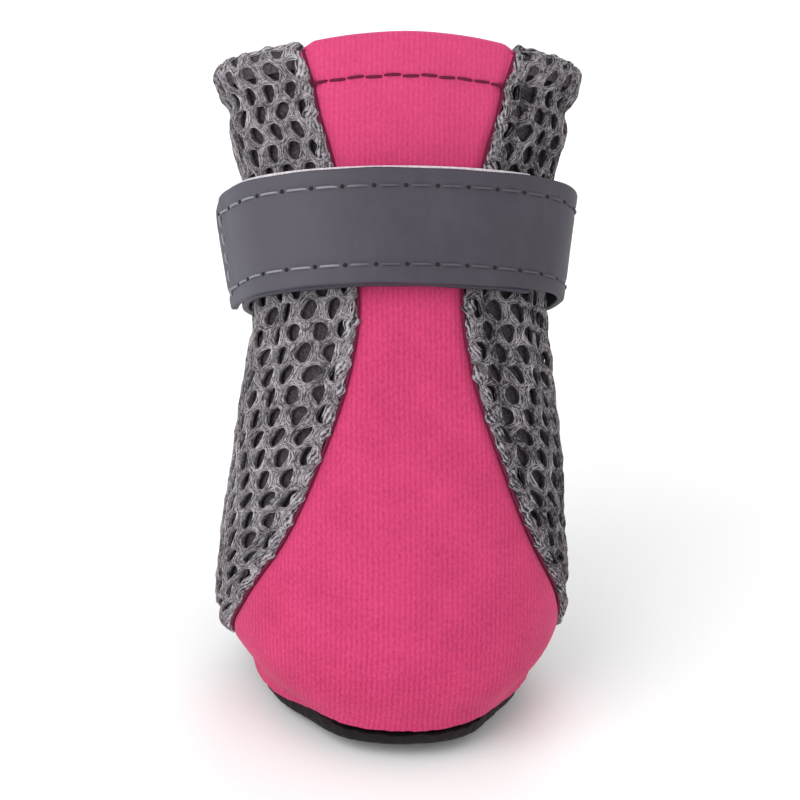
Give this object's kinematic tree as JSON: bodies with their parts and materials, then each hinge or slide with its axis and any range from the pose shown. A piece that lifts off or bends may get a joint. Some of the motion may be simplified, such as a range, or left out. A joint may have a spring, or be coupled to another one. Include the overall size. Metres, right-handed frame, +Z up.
{
  "type": "dog boot",
  "caption": "Soft dog boot: knit front panel, open mesh sides, thin rubber dish sole and a hook-and-loop strap round the ankle.",
  "frame": {"origin": "on the floor under the middle of the sole, at the underside of the middle grip bar", "axes": "+Z up, the toe towards -Y and the heel towards +Y, +X to the right of somebody who faces the toe"},
  "size_m": [0.0572, 0.0719, 0.1028],
  "materials": {
    "upper_cloth": "rib knit panel and grey spacer mesh, matt",
    "sole_rubber": "matt black, fine grain",
    "insole_foam": "matt grey lining cloth on foam",
    "strap_band": "smooth grey reflective tape, satin",
    "hook_tape": "pale hook tape"
  },
  "bodies": {
    "root": {"upper": "upper_cloth", "outsole": "sole_rubber", "insole": "insole_foam", "strap": "strap_band", "hook_tape": "hook_tape"}
  },
  "joints": []
}
